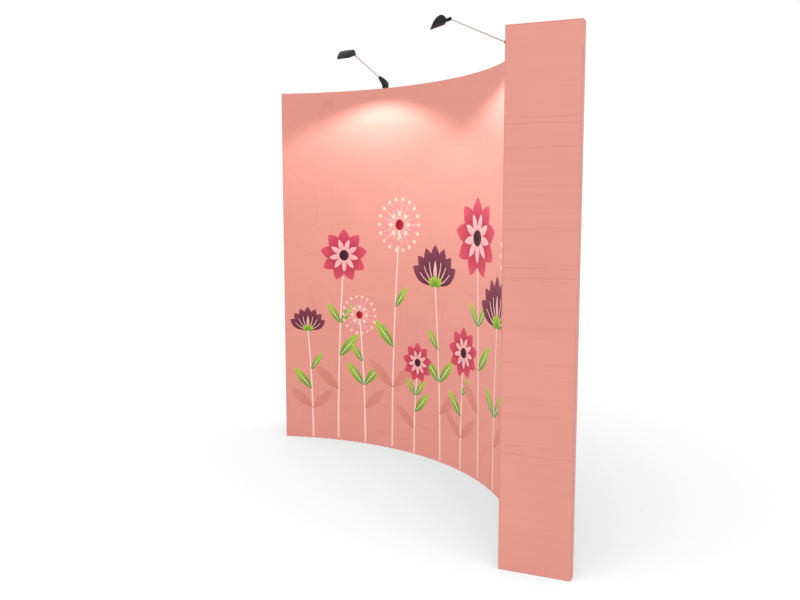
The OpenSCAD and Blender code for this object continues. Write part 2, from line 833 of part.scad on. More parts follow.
module lamp_knob(side)
    color("#1f1f21")
        at_lamp(side)
            head_frame() {
                difference() {
                    translate([ear_outer + head_ear_gap + knob_l / 2, 0, 0]) across_x(knob_l, knob_d);
                    for (i = [0:knob_flutes - 1])
                        rotate([i * 360 / knob_flutes, 0, 0])
                            translate([ear_outer + head_ear_gap + knob_l / 2 + flute_start, 0,
                                       knob_d / 2 + flute_out])
                                across_x(knob_l, flute_d);
                }
                translate([head_ear_gap / 2, 0, 0])
                    across_x(2 * ear_outer + head_ear_gap + lap, clamp_d);
            }

front_graphic();
end_cap(-1);  // end_cap_left
end_cap(1);  // end_cap_right
return_strip(-1);  // return_strip_left
return_strip(1);  // return_strip_right
front_bar(-1);  // front_bar_left
front_bar(1);  // front_bar_right
rear_bar(-1);  // rear_bar_left
rear_bar(1);  // rear_bar_right
hubs_column(0);  // hubs_column_1
hubs_column(1);  // hubs_column_2
hubs_column(2);  // hubs_column_3
hubs_column(3);  // hubs_column_4
hubs_column(4);  // hubs_column_5
bay_tubes(0);  // bay_1_tubes
bay_tubes(1);  // bay_2_tubes
bay_tubes(2);  // bay_3_tubes
bay_tubes(3);  // bay_4_tubes
column_tubes(0);  // column_1_tubes
column_tubes(1);  // column_2_tubes
column_tubes(2);  // column_3_tubes
column_tubes(3);  // column_4_tubes
column_tubes(4);  // column_5_tubes
tips(all_bay_links);  // bay_tube_tips
tips(all_column_links);  // column_tube_tips
hub_pins();
scissor_rivets();
hook_pads();
hub_feet();
bar_screws();
lock_arm(1);  // lock_arm_1
lock_arm(2);  // lock_arm_2
lock_arm(3);  // lock_arm_3
lock_arm(4);  // lock_arm_4
lock_arm(5);  // lock_arm_5
lock_arm(6);  // lock_arm_6
lock_hinge_pins();
lock_studs();
lamp_bracket(-1);  // lamp_left_bracket
lamp_inlet(-1);  // lamp_left_inlet
lamp_arm(-1);  // lamp_left_arm
lamp_knuckle(-1);  // lamp_left_knuckle
lamp_head(-1);  // lamp_left_head
lamp_lens(-1);  // lamp_left_lens
lamp_light_board(-1);  // lamp_left_light_board
lamp_heat_sink(-1);  // lamp_left_heat_sink
lamp_knob(-1);  // lamp_left_knob
lamp_bracket(1);  // lamp_right_bracket
lamp_inlet(1);  // lamp_right_inlet
lamp_arm(1);  // lamp_right_arm
lamp_knuckle(1);  // lamp_right_knuckle
lamp_head(1);  // lamp_right_head
lamp_lens(1);  // lamp_right_lens
lamp_light_board(1);  // lamp_right_light_board
lamp_heat_sink(1);  // lamp_right_heat_sink
lamp_knob(1);  // lamp_right_knob
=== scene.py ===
# Curved pop-up backwall: stretch cloth on a folding lattice, with two floodlights on its top edge.
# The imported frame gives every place. This script adds the cloth, the finishes, small fittings and light.
# Lengths are in metres, unless a name ends in Mm.
import json
import math
import bmesh
import bpy
from mathutils import Matrix, Vector
from mathutils.geometry import delaunay_2d_cdt


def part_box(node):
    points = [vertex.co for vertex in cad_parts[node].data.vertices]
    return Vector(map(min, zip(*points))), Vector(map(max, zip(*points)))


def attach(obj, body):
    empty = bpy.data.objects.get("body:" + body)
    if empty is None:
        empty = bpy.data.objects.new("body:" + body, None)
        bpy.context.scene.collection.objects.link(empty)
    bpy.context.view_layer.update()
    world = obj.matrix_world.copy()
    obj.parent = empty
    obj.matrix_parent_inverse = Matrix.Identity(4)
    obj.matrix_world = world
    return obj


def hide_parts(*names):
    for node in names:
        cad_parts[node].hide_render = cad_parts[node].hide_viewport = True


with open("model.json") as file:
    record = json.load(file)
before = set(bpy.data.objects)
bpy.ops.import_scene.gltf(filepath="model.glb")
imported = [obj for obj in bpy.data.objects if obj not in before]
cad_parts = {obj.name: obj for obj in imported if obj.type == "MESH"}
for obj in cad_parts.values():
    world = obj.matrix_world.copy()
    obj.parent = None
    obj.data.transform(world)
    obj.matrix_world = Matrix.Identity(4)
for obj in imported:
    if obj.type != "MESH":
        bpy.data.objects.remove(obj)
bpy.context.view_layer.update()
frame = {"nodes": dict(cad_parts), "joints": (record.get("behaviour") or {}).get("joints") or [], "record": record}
nodes = frame["nodes"]
jointNamed = {joint["name"]: joint for joint in frame["joints"]}
print("frame loaded:", len(nodes), "nodes")

# ---- camera ----
camera = {
    "place": (3.9934, -2.5084, 1.5399),
    "headingDeg": 150.562,  # which way it looks on the floor plan, counted from +X
    "downDeg": 6.41,
    "lensMm": 37.99,
    "sensorMm": 36.0,
    "clip": (0.05, 200),
}


def buildCamera():
    data = bpy.data.cameras.new("camera")
    data.lens = camera["lensMm"]
    data.sensor_width = camera["sensorMm"]
    data.clip_start, data.clip_end = camera["clip"]
    eye = bpy.data.objects.new("camera", data)
    eye.location = camera["place"]
    tilt, turn = math.radians(90 - camera["downDeg"]), math.radians(camera["headingDeg"] - 90)
    eye.rotation_euler = (tilt, 0, turn)
    bpy.context.scene.collection.objects.link(eye)
    bpy.context.scene.camera = eye


buildCamera()
print("camera placed")

# ---- the wall's own sizes; its places come from the frame ----
wall = {
    "faceRadius": 1.5,  # radius of the print's face, about an upright axis in front of the wall
    "angleDeg": 106.0,  # of the whole curve
    "clothMm": 1.5,
    "hemMm": 4.0,
    "hemRaiseMm": 0.4,  # how far the hem stands proud of the cloth
    "tapeWidth": 0.025,  # loop tape sewn on the back, along every edge
    "columnDeg": 1.5,  # mesh columns of the print
    "columnWidth": 0.02,  # mesh columns of the flat cloths
    "rowHeight": 0.09,  # mesh rows of every cloth
}
faceRadius = wall["faceRadius"]
cloth = wall["clothMm"] / 1000
hem = wall["hemMm"] / 1000
hemRaise = wall["hemRaiseMm"] / 1000
tapeWidth = wall["tapeWidth"]
within = 0.9  # share of a border's width that is safely inside it, whatever the rounding
halfTurn = math.radians(wall["angleDeg"] / 2)
printLow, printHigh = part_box("front_graphic")
arcCentre = Vector((0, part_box("end_cap_right")[0].y - faceRadius * math.cos(halfTurn), 0))
printHalf = math.asin(printHigh.x / (faceRadius + cloth)) * faceRadius  # half of its length along the arc


def onArc(along, height, radius):  # along the print, from its middle
    turn = along / faceRadius
    return arcCentre + Vector((radius * math.sin(turn), radius * math.cos(turn), height))


def turnedFrame(turn):  # X along the wall, Y out from the arc's centre, Z up
    return Matrix.Translation(arcCentre) @ Matrix.Rotation(-turn, 4, "Z")


def boxIn(place, node):  # a node's corners in another frame
    points = [place.inverted() @ vertex.co for vertex in nodes[node].data.vertices]
    return [Vector([pick(p[i] for p in points) for i in range(3)]) for pick in (min, max)]


# ---- node helpers ----
noiseSpan = {1: 0.3, 2: 0.7}  # noise hardly leaves this span, so it is stretched from here


def linear(hexCode):  # sRGB hex to the linear colour that shaders take
    parts = [int(hexCode[i:i + 2], 16) / 255 for i in (1, 3, 5)]
    return [p / 12.92 if p <= 0.04045 else ((p + 0.055) / 1.055) ** 2.4 for p in parts] + [1.0]


def addNode(tree, kind, inputs=None, **settings):  # one node, with its settings, values and links
    node = tree.nodes.new(kind)
    for key, value in settings.items():
        setattr(node, key, value)
    for key, value in (inputs or {}).items():
        if isinstance(value, bpy.types.NodeSocket):
            tree.links.new(value, node.inputs[key])
        else:
            node.inputs[key].default_value = value
    return node


def newMaterial(name):  # its empty node tree, and the place where its patterns lie
    material = bpy.data.materials.new(name)
    material.use_nodes = True
    tree = material.node_tree
    tree.nodes.clear()
    return material, tree, addNode(tree, "ShaderNodeTexCoord").outputs["Object"]


def perMetre(sizeMm):  # pattern scale from the real size of one feature
    return 1000 / sizeMm


# ---- cloth finishes ----
knit = {
    "courseMm": 3.0,  # real courses are 0.8 mm apart, drawn coarser so that they show close up
    "courseDepthMm": 0.05,
    "fuzzMm": 1.6,  # and the loose fibres between them
    "mottleMm": 260,  # slow unevenness of the dye
    "mottle": 0.012,
    "streakMm": 14,  # level streaks that a stretched knit shows
    "streakDrawn": 0.03,  # less draws them out further along the cloth
    "streak": 0.012,
    "roughness": 0.9,
    "ior": 1.57,
    "gloss": 0.2,
    "sheen": 0.06,
    "undyed": "#F1E9E5",
    "backShare": 0.28,  # how much of the dye comes through to the back
    "veinStart": 0.25,  # how far below a shape's root its fan of veins begins, as a share of its length
    "contourMm": 620,  # size of the hills that the tonal lines run round
    "contourBands": 17,  # more bands put the lines closer together
    "contourHex": "#5A1F1A",
}
# thin lines stand where a pattern folds back, at every step of this size; width is in the same measure
veinLines = {"fold": 0.5, "width": 0.16, "strength": 0.3}
contourLines = {"fold": 1.0, "width": 0.09, "strength": 0.045}
waveBands = 20 / math.tau  # bands in a metre of the wave texture at scale 1
inks = {  # colour at a shape's root and at its tip, and the veins drawn along and across it
    "coral": ("#EA9F92", "#EA9F92", None),
    "crimson": ("#A3152F", "#E25A70", (0, 3.5)),
    "plum": ("#3C1826", "#8E4459", (0, 3.0)),
    "leaf": ("#568F27", "#B9D94A", (6, -1.5)),
    "shade": ("#DC8B7E", "#E29487", None),
    "pale": ("#FFDAD0", "#FFEEE8", None),
    "rose": ("#EE979C", "#FACBC9", (0, 2.0)),
    "hem": ("#E89A8C", "#E89A8C", None),
}
# the cap's own dye colour, and a darker colour along its pull marks that is painted shade of the creases
capDyeAndCreaseShade = {"base": "#F0A395", "crease": "#E59789"}
tapes = {  # colours between and on the hooks or loops, which are 0.5 mm apart and drawn coarser to show
    "loop": {"name": "loop_tape_nylon", "hexes": ("#C9C3BE", "#E6E1DC"), "gapMm": 1.2, "reliefMm": 0.3},
    "hook": {"name": "hook_tape_nylon", "hexes": ("#151517", "#3D3D40"), "gapMm": 1.6, "reliefMm": 0.4},
}


def drawLines(tree, colour, pattern, lines, lineColour, share=1.0):  # thin soft lines over a colour
    fold = addNode(tree, "ShaderNodeMath", {0: pattern, 1: lines["fold"]}, operation="PINGPONG")
    line = addNode(tree, "ShaderNodeMapRange", {
        0: fold.outputs[0], 1: 0.0, 2: lines["width"], 3: lines["strength"] * share, 4: 0.0,
    })
    return addNode(tree, "ShaderNodeMix", {0: line.outputs[0], 6: colour, 7: lineColour},
                   data_type="RGBA").outputs[2]


def veinPattern(tree, ramp, along, across):  # fans out from the root, or slants off a midrib
    side = addNode(tree, "ShaderNodeMath", {0: ramp.outputs[1]}, operation="ABSOLUTE")
    spread = addNode(tree, "ShaderNodeMath", {0: ramp.outputs[0], 1: knit["veinStart"]}, operation="ADD")
    fan = addNode(tree, "ShaderNodeMath", {0: side.outputs[0], 1: spread.outputs[0]}, operation="DIVIDE")
    run = addNode(tree, "ShaderNodeMath", {0: ramp.outputs[0], 1: along}, operation="MULTIPLY")
    return addNode(tree, "ShaderNodeMath", {0: fan.outputs[0], 1: across, 2: run.outputs[0]},
                   operation="MULTIPLY_ADD").outputs[0]


def contourPattern(tree, place):  # like the height lines of a map
    hills = addNode(tree, "ShaderNodeTexNoise", {
        "Vector": place, "Scale": perMetre(knit["contourMm"]), "Detail": 1.0, "Roughness": 0.4,
    })
    return addNode(tree, "ShaderNodeMath", {0: hills.outputs[0], 1: knit["contourBands"]},
                   operation="MULTIPLY").outputs[0]


def dyeTone(tree, place):  # uneven dye, and level streaks where the knit is stretched
    dye = addNode(tree, "ShaderNodeTexNoise", {
        "Vector": place, "Scale": perMetre(knit["mottleMm"]), "Detail": 3.0,
    })
    mottled = addNode(tree, "ShaderNodeMapRange", {
        0: dye.outputs[0], **noiseSpan, 3: 1 - knit["mottle"], 4: 1 + knit["mottle"],
    })
    level = addNode(tree, "ShaderNodeMapping", {
        "Vector": place, "Scale": (knit["streakDrawn"], knit["streakDrawn"], 1.0),
    })
    pulls = addNode(tree, "ShaderNodeTexNoise", {
        "Vector": level.outputs[0], "Scale": perMetre(knit["streakMm"]), "Detail": 2.0,
    })
    streaked = addNode(tree, "ShaderNodeMapRange", {
        0: pulls.outputs[0], **noiseSpan, 3: 1 - knit["streak"], 4: 1 + knit["streak"],
    })
    return addNode(tree, "ShaderNodeMath", {0: mottled.outputs[0], 1: streaked.outputs[0]},
                   operation="MULTIPLY").outputs[0]


def knitFinish(name, root, tip, dyeShare=1.0, veins=None, contours=False):
    # warp-knitted polyester, heat-pressed dye: dead matt, faint level ribs, a trace of fuzz at the edges
    material, tree, place = newMaterial(name)
    undyed = linear(knit["undyed"])
    rootColour, tipColour = (
        [dye * dyeShare + bare * (1 - dyeShare) for dye, bare in zip(linear(code), undyed)]
        for code in (root, tip)
    )
    rampValues = addNode(tree, "ShaderNodeAttribute", attribute_name="ramp").outputs["Vector"]
    ramp = addNode(tree, "ShaderNodeSeparateXYZ", {0: rampValues})
    colour = addNode(tree, "ShaderNodeMix", {0: ramp.outputs[0], 6: rootColour, 7: tipColour},
                     data_type="RGBA").outputs[2]
    if veins:
        colour = drawLines(tree, colour, veinPattern(tree, ramp, *veins), veinLines, rootColour)
    if contours:
        colour = drawLines(tree, colour, contourPattern(tree, place), contourLines,
                           linear(knit["contourHex"]), dyeShare)
    toned = addNode(tree, "ShaderNodeVectorMath", {0: colour, 3: dyeTone(tree, place)}, operation="SCALE")
    courses = addNode(tree, "ShaderNodeTexWave", {
        "Vector": place, "Scale": perMetre(knit["courseMm"]) / waveBands, "Distortion": 0.6,
    }, bands_direction="Z")
    fuzz = addNode(tree, "ShaderNodeTexNoise", {"Vector": place, "Scale": perMetre(knit["fuzzMm"])})
    height = addNode(tree, "ShaderNodeMath", {0: courses.outputs[1], 1: fuzz.outputs[0]}, operation="ADD")
    relief = addNode(tree, "ShaderNodeBump", {
        "Distance": knit["courseDepthMm"] / 1000, "Height": height.outputs[0],
    })
    shader = addNode(tree, "ShaderNodeBsdfPrincipled", {
        "Base Color": toned.outputs[0], "Roughness": knit["roughness"], "IOR": knit["ior"],
        "Specular IOR Level": knit["gloss"], "Sheen Weight": knit["sheen"], "Normal": relief.outputs[0],
    })
    addNode(tree, "ShaderNodeOutputMaterial", {"Surface": shader.outputs[0]})
    return material


def tapeFinish(tape):  # woven nylon tape set with hooks or loops: dull, with a soft speckle
    material, tree, place = newMaterial(tape["name"])
    low, high = tape["hexes"]
    loops = addNode(tree, "ShaderNodeTexVoronoi", {
        "Vector": place, "Scale": perMetre(tape["gapMm"]),
    }).outputs[0]
    colour = addNode(tree, "ShaderNodeMix", {0: loops, 6: linear(high), 7: linear(low)},
                     data_type="RGBA").outputs[2]
    relief = addNode(tree, "ShaderNodeBump", {"Distance": tape["reliefMm"] / 1000, "Height": loops})
    shader = addNode(tree, "ShaderNodeBsdfPrincipled", {
        "Base Color": colour, "Roughness": 0.85, "IOR": 1.53, "Sheen Weight": 0.15,
        "Normal": relief.outputs[0],
    })
    addNode(tree, "ShaderNodeOutputMaterial", {"Surface": shader.outputs[0]})
    return material


# ---- hard finishes ----
# Colours and roughness are for the low and the high places of the grain. The real grain is 0.05 to
# 0.3 mm, and grainMm is coarser so that it shows close up. A drawn below 1 draws it out upwards.
# rubbed holds paler colours for the rounded edges: a painted highlight along them
hardLooks = {
    # clear-anodised extrusion: silvery satin, with faint die lines along its length
    "bar_aluminium": {
        "name": "anodised_extrusion", "hexes": ("#D6D7D7", "#E0E1E1"), "rough": (0.34, 0.44),
        "shader": {"Metallic": 1}, "grainMm": 1.5, "drawn": 0.02, "reliefMm": 0.002,
    },
    # drawn and anodised tube: brighter, with a soft highlight down its side
    "tube_aluminium": {
        "name": "drawn_aluminium", "hexes": ("#BEC2C6", "#C6CACD"), "rough": (0.26, 0.31),
        "shader": {"Metallic": 1}, "grainMm": 4.0, "drawn": 0.2, "reliefMm": 0.001,
    },
    # zinc-plated and passivated steel: cooler and a little cloudy
    "zinc_steel": {
        "name": "zinc_plate", "hexes": ("#9CA1A8", "#B9BEC4"), "rough": (0.22, 0.4),
        "shader": {"Metallic": 1}, "grainMm": 3.0, "reliefMm": 0.003,
    },
    # satin nickel plate: warm grey with an even, brushed-looking sheen
    "lamp_arm_steel": {
        "name": "satin_nickel", "hexes": ("#C7C0BE", "#D1CBC9"), "rough": (0.26, 0.34),
        "shader": {"Metallic": 1}, "grainMm": 1.2, "reliefMm": 0.001,
    },
    # extruded heat sink, bead blasted: pale and matt
    "heat_sink_aluminium": {
        "name": "blasted_aluminium", "hexes": ("#A9ACAF", "#BBBDC0"), "rough": (0.4, 0.55),
        "shader": {"Metallic": 1}, "grainMm": 0.8, "reliefMm": 0.01,
    },
    # injection-moulded black nylon: fine spark texture, a low broad highlight, and paler edges that are painted
    # highlight
    "hub_plastic": {
        "name": "moulded_nylon", "hexes": ("#161617", "#1F1F21"), "rough": (0.42, 0.58),
        "shader": {"IOR": 1.53, "Specular IOR Level": 0.35}, "grainMm": 0.9, "reliefMm": 0.05,
        "rubbed": ("#333335", "#3E3E40"),
    },
    # glass-filled nylon: greyer, with a drier surface, and paler edges that are painted highlight
    "lock_plastic": {
        "name": "glass_filled_nylon", "hexes": ("#1C1C1E", "#2A2A2C"), "rough": (0.5, 0.65),
        "shader": {"IOR": 1.55, "Specular IOR Level": 0.3}, "grainMm": 0.5, "reliefMm": 0.05,
        "rubbed": ("#38383A", "#424245"),
    },
    # moulded rubber: dull and slightly dusty
    "foot_rubber": {
        "name": "moulded_rubber", "hexes": ("#161617", "#242425"), "rough": (0.75, 0.9),
        "shader": {"IOR": 1.52, "Specular IOR Level": 0.25}, "grainMm": 0.8, "reliefMm": 0.05,
    },
    # satin ABS moulding: smooth and dark, with a soft sheen, and paler edges that are painted highlight
    "lamp_plastic": {
        "name": "satin_abs", "hexes": ("#171718", "#1D1D1F"), "rough": (0.36, 0.48),
        "shader": {"IOR": 1.54, "Specular IOR Level": 0.25}, "grainMm": 0.6, "reliefMm": 0.015,
        "rubbed": ("#353538", "#404043"),
    },
    # moulded nylon socket: darker than the case round it
    "inlet_plastic": {
        "name": "inlet_nylon", "hexes": ("#0D0D0E", "#141415"), "rough": (0.4, 0.5),
        "shader": {"IOR": 1.53, "Specular IOR Level": 0.3}, "grainMm": 0.5, "reliefMm": 0.02,
    },
    # fluted ABS knob: satin, with bright flute edges that are painted highlight
    "knob_plastic": {
        "name": "fluted_abs", "hexes": ("#151516", "#1C1C1E"), "rough": (0.4, 0.55),
        "shader": {"IOR": 1.54, "Specular IOR Level": 0.3}, "grainMm": 0.5, "reliefMm": 0.03,
        "rubbed": ("#303032", "#3A3A3C"),
    },
    # satin black powder coat on a die casting: very fine orange peel that breaks up the light, and paler edges
    # that are painted highlight
    "lamp_casting": {
        "name": "powder_coat", "hexes": ("#18181A", "#1E1E20"), "rough": (0.38, 0.46),
        "shader": {"IOR": 1.5, "Specular IOR Level": 0.3}, "grainMm": 1.1, "reliefMm": 0.03,
        "rubbed": ("#48484B", "#565659"),
    },
    # smoked polycarbonate over the light board: near black, dulled by its prismatic inner face
    "lamp_lens": {
        "name": "smoked_polycarbonate", "hexes": ("#020203", "#060607"), "rough": (0.4, 0.5),
        "shader": {"IOR": 1.58, "Specular IOR Level": 0.03}, "grainMm": 3.0, "reliefMm": 0.02,
    },
}
board = {  # colours of the mask and of the chips
    "hexes": ("#E9E7DF", "#E3C35B"),
    "chipGapMm": 4,
    "chipEdge": (0.27, 0.3),  # half a chip's width where its side starts and ends, as a share of the gap
    "chipRiseMm": 0.3,
}


def hardFinish(look, hexes, suffix=""):  # a fine grain in colour, gloss and height
    material, tree, place = newMaterial(look["name"] + suffix)
    drawn = addNode(tree, "ShaderNodeMapping", {"Vector": place, "Scale": (1, 1, look.get("drawn", 1))})
    grain = addNode(tree, "ShaderNodeTexNoise", {
        "Vector": drawn.outputs[0], "Scale": perMetre(look["grainMm"]), "Detail": 2.0,
    }).outputs[0]
    share = addNode(tree, "ShaderNodeMapRange", {0: grain, **noiseSpan}).outputs[0]
    colour = addNode(tree, "ShaderNodeMix", {0: share, 6: linear(hexes[0]), 7: linear(hexes[1])},
                     data_type="RGBA").outputs[2]
    low, high = look["rough"]
    roughness = addNode(tree, "ShaderNodeMapRange", {0: grain, **noiseSpan, 3: low, 4: high}).outputs[0]
    relief = addNode(tree, "ShaderNodeBump", {"Distance": look["reliefMm"] / 1000, "Height": grain})
    shader = addNode(tree, "ShaderNodeBsdfPrincipled", {
        "Base Color": colour, "Roughness": roughness, "Normal": relief.outputs[0], **look["shader"],
    })
    addNode(tree, "ShaderNodeOutputMaterial", {"Surface": shader.outputs[0]})
    return material


def boardFinish():  # white solder mask with rows of small yellow light-emitting chips
    material, tree, place = newMaterial("solder_mask")
    mask, chips = board["hexes"]
    grid = addNode(tree, "ShaderNodeTexVoronoi", {
        "Vector": place, "Scale": perMetre(board["chipGapMm"]), "Randomness": 0.0,
    }, distance="CHEBYCHEV").outputs["Distance"]
    top, foot = board["chipEdge"]
    chip = addNode(tree, "ShaderNodeMapRange", {0: grid, 1: top, 2: foot, 3: 1.0, 4: 0.0}).outputs[0]
    colour = addNode(tree, "ShaderNodeMix", {0: chip, 6: linear(mask), 7: linear(chips)},
                     data_type="RGBA").outputs[2]
    relief = addNode(tree, "ShaderNodeBump", {"Distance": board["chipRiseMm"] / 1000, "Height": chip})
    shader = addNode(tree, "ShaderNodeBsdfPrincipled", {
        "Base Color": colour, "Roughness": 0.35, "Normal": relief.outputs[0],
    })
    addNode(tree, "ShaderNodeOutputMaterial", {"Surface": shader.outputs[0]})
    return material


inkOrder = list(inks)
inkFinishes = []  # every ink on the face, then every ink as it comes through to the back
for share, prefix in ((1.0, "knit_"), (knit["backShare"], "knit_back_")):
    for ink, (root, tip, veins) in inks.items():
        isGround = ink == "coral"
        inkFinishes.append(knitFinish(prefix + ink, root, tip, share, veins, contours=isGround))
loopTape = tapeFinish(tapes["loop"])
capLook = {"face": 0, "back": 1, "hem": 2, "tape": 3}  # places in the next list
capFinishes = [
    # the cap's face turns darker along its pull marks: painted shade
    knitFinish("dyed_knit", capDyeAndCreaseShade["base"], capDyeAndCreaseShade["crease"]),
    knitFinish("dyed_knit_back", capDyeAndCreaseShade["base"], capDyeAndCreaseShade["base"], knit["backShare"]),
    knitFinish("dyed_knit_hem", *inks["hem"][:2]),
    loopTape,
]
finishes = {}
for slot, look in hardLooks.items():
    finishes[slot] = [hardFinish(look, look["hexes"])]
    # a paler copy of the finish for the rounded edges: painted highlight
    if "rubbed" in look:
        finishes[slot].append(hardFinish(look, look["rubbed"], "_rubbed"))
finishes["hook_tape"] = [tapeFinish(tapes["hook"])]
finishes["light_board"] = [boardFinish()]
print("materials made:", len(bpy.data.materials))

# ---- frame nodes: finishes, rounded edges with painted highlight, and smooth curves ----
edges = {
    "weldMm": 0.02,
    "bevelMm": 0.6,
    "castingBevelMm": 1.2,
    "segments": 2,
    "sharpDeg": 40,  # a sharper turn than this is a corner
    "rounded": ("hubs_", "lamp_", "lock_arm", "front_bar", "rear_bar"),
}


def buildSmoothing():  # shades curves smooth and keeps real corners crisp
    tree = bpy.data.node_groups.new("smooth_curves", "GeometryNodeTree")
    for way in ("INPUT", "OUTPUT"):
        tree.interface.new_socket("Geometry", in_out=way, socket_type="NodeSocketGeometry")
    start = addNode(tree, "NodeGroupInput")
    angle = addNode(tree, "GeometryNodeInputMeshEdgeAngle")
    soft = addNode(tree, "FunctionNodeCompare", {0: angle.outputs[0], 1: math.radians(edges["sharpDeg"])},
                   operation="LESS_THAN")
    corners = addNode(tree, "GeometryNodeSetShadeSmooth",
                      {"Geometry": start.outputs[0], "Shade Smooth": soft.outputs[0]}, domain="EDGE")
    faces = addNode(tree, "GeometryNodeSetShadeSmooth",
                    {"Geometry": corners.outputs[0], "Shade Smooth": True}, domain="FACE")
    addNode(tree, "NodeGroupOutput", {0: faces.outputs[0]})
    return tree


smoothing = buildSmoothing()
for part in frame["record"]["subparts"]:
    node, slot = nodes[part["node"]], part["material_slot"]
    if slot not in finishes:
        continue
    node.data.materials.clear()
    for material in finishes[slot]:
        node.data.materials.append(material)
    weld = node.modifiers.new("weld", "WELD")
    weld.merge_threshold = edges["weldMm"] / 1000
    if part["node"].startswith(edges["rounded"]):
        bevelMm = edges["castingBevelMm"] if slot == "lamp_casting" else edges["bevelMm"]
        bevel = node.modifiers.new("rounded edges", "BEVEL")
        bevel.width = bevelMm / 1000
        bevel.segments = edges["segments"]
        bevel.limit_method = "ANGLE"
        bevel.angle_limit = math.radians(edges["sharpDeg"])
        bevel.material = len(node.data.materials) - 1  # the paler edge finish, a painted highlight, where there is one
    node.modifiers.new("smooth curves", "NODES").node_group = smoothing
print("frame nodes dressed")


# ---- meshes ----
def addPiece(name, points, faces, materials, slots=None, ramps=None):
    mesh = bpy.data.meshes.new(name)
    mesh.from_pydata([tuple(p) for p in points], [], faces)
    for material in materials:
        mesh.materials.append(material)
    if slots:
        mesh.polygons.foreach_set("material_index", slots)
    if ramps:  # at each corner of a face, its place from root to tip and off the middle, or how deep it lies in a crease, which darkens the cap as painted shade
        values = mesh.attributes.new("ramp", "FLOAT_VECTOR", "CORNER")
        values.data.foreach_set("vector", [number for ramp in ramps for number in ramp])
    tidy = bmesh.new()
    tidy.from_mesh(mesh)
    bmesh.ops.recalc_face_normals(tidy, faces=tidy.faces)
    tidy.to_mesh(mesh)
    tidy.free()
    piece = bpy.data.objects.new(name, mesh)
    bpy.context.scene.collection.objects.link(piece)
    return piece


def wrapCloth(name, face, back, tiles, looks, ramps, rimLook, materials):
    # closed cloth: the tiles on its face, the same tiles on its back, and a rim between their borders
    count, faces, slots, values, border = len(face), [], [], [], set()
    for tile, (faceLook, backLook), ramp in zip(tiles, looks, ramps):
        faces += [tuple(tile), tuple(v + count for v in reversed(tile))]
        slots += [faceLook, backLook]
        values += ramp + ramp[::-1]
        for a, b in zip(tile, tile[1:] + tile[:1]):
            border ^= {(b, a)} if (b, a) in border else {(a, b)}
    for a, b in sorted(border):
        faces.append((b, a, a + count, b + count))
        slots.append(rimLook)
        values += [(0, 0, 0)] * 4
    return addPiece(name, face + back, faces, materials, slots, values)


def evenSteps(low, high, step):  # even steps that end exactly on both limits
    count = max(1, round((high - low) / step))
    return [low + (high - low) * i / count for i in range(count + 1)]


def gridTiles(columns, rows):
    width = len(columns)
    return [
        [r * width + c, r * width + c + 1, (r + 1) * width + c + 1, (r + 1) * width + c]
        for r in range(len(rows) - 1) for c in range(width - 1)
    ]


# ---- the printed design: a meadow of tall flowers, drawn flat as the print is before it is hung ----
plants = [  # foot along the wall, height, lean, kind of flower, its radius
    (-1.20, 0.72, -0.03, "fan", 0.150),
    (-1.02, 1.22, 0.05, "daisy", 0.170),
    (-0.82, 0.84, -0.04, "globe", 0.125),
    (-0.61, 1.42, 0.06, "globe", 0.165),
    (-0.43, 0.58, 0.03, "daisy", 0.125),
    (-0.20, 1.06, -0.05, "fan", 0.235),
    (0.00, 0.70, 0.03, "daisy", 0.150),
    (0.20, 1.36, -0.03, "daisy", 0.225),
    (0.40, 0.90, 0.04, "fan", 0.260),
    (0.62, 1.28, 0.04, "globe", 0.180),
    (0.83, 0.74, -0.04, "daisy", 0.150),
    (1.03, 1.10, 0.03, "fan", 0.185),
    (1.23, 0.66, -0.02, "daisy", 0.120),
]
petal = {
    "sidePoints": 14,
    "endPower": 0.85,  # less makes the ends blunter
    "fullness": 1.25,  # more puts the widest place further out
}
eyeDisc = {"points": 22, "reach": 0.5}  # reach: how far its colour runs, as a share of the flower's radius
shapes = []  # outline, ink, root, direction, reach, half width


def petalOutline(length, width, fullness):  # along +X from its root
    shares = [i / petal["sidePoints"] for i in range(1, petal["sidePoints"])]
    swells = [math.sin(math.pi * t ** fullness) ** petal["endPower"] for t in shares]
    side = [(length * t, width / 2 * swell) for t, swell in zip(shares, swells)]
    return [(0, 0)] + [(x, -y) for x, y in side] + [(length, 0)] + [(x, y) for x, y in reversed(side)]


def onCircle(middle, radius, turn):
    return middle[0] + radius * math.cos(turn), middle[1] + radius * math.sin(turn)


def addShape(outline, ink, root, turnDeg, reach, halfWidth=1.0):
    c, s = math.cos(math.radians(turnDeg)), math.sin(math.radians(turnDeg))
    outline = [(root[0] + x * c - y * s, root[1] + x * s + y * c) for x, y in outline]
    shapes.append((outline, ink, root, (c, s), reach, halfWidth))


def addPetal(ink, root, turnDeg, length, width, fullness=petal["fullness"]):
    addShape(petalOutline(length, width, fullness), ink, root, turnDeg, length, width / 2)


def addDisc(ink, middle, radius, count, reach):
    outline = [onCircle((0, 0), radius, math.tau * i / count) for i in range(count)]
    addShape(outline, ink, middle, 0, reach)


def stemAt(plant, share):  # a stem leaves its foot upright and bends towards its flower
    foot, height, lean = plant[:3]
    return foot + lean * share * share, height * share


stem = {
    "width": 0.010,
    "points": 11,
    "start": 0.012,  # share of its height where it starts, just above the hem
    "footShare": 1.3,  # share of its width that it has at its foot
    "taperShare": 0.06,  # and that it loses from point to point
}


def drawStem(plant):
    steps = range(stem["points"])
    halfWidths = [stem["width"] / 2 * (stem["footShare"] - stem["taperShare"] * i) for i in steps]
    spine = [stemAt(plant, max(i / steps[-1], stem["start"])) for i in steps]
    right = [(x + half, z) for (x, z), half in zip(spine, halfWidths)]
    left = [(x - half, z) for (x, z), half in zip(spine, halfWidths)]
    shapes.append((right + left[::-1], "pale", (plant[0], 0), (0, 1), plant[1], 1.0))


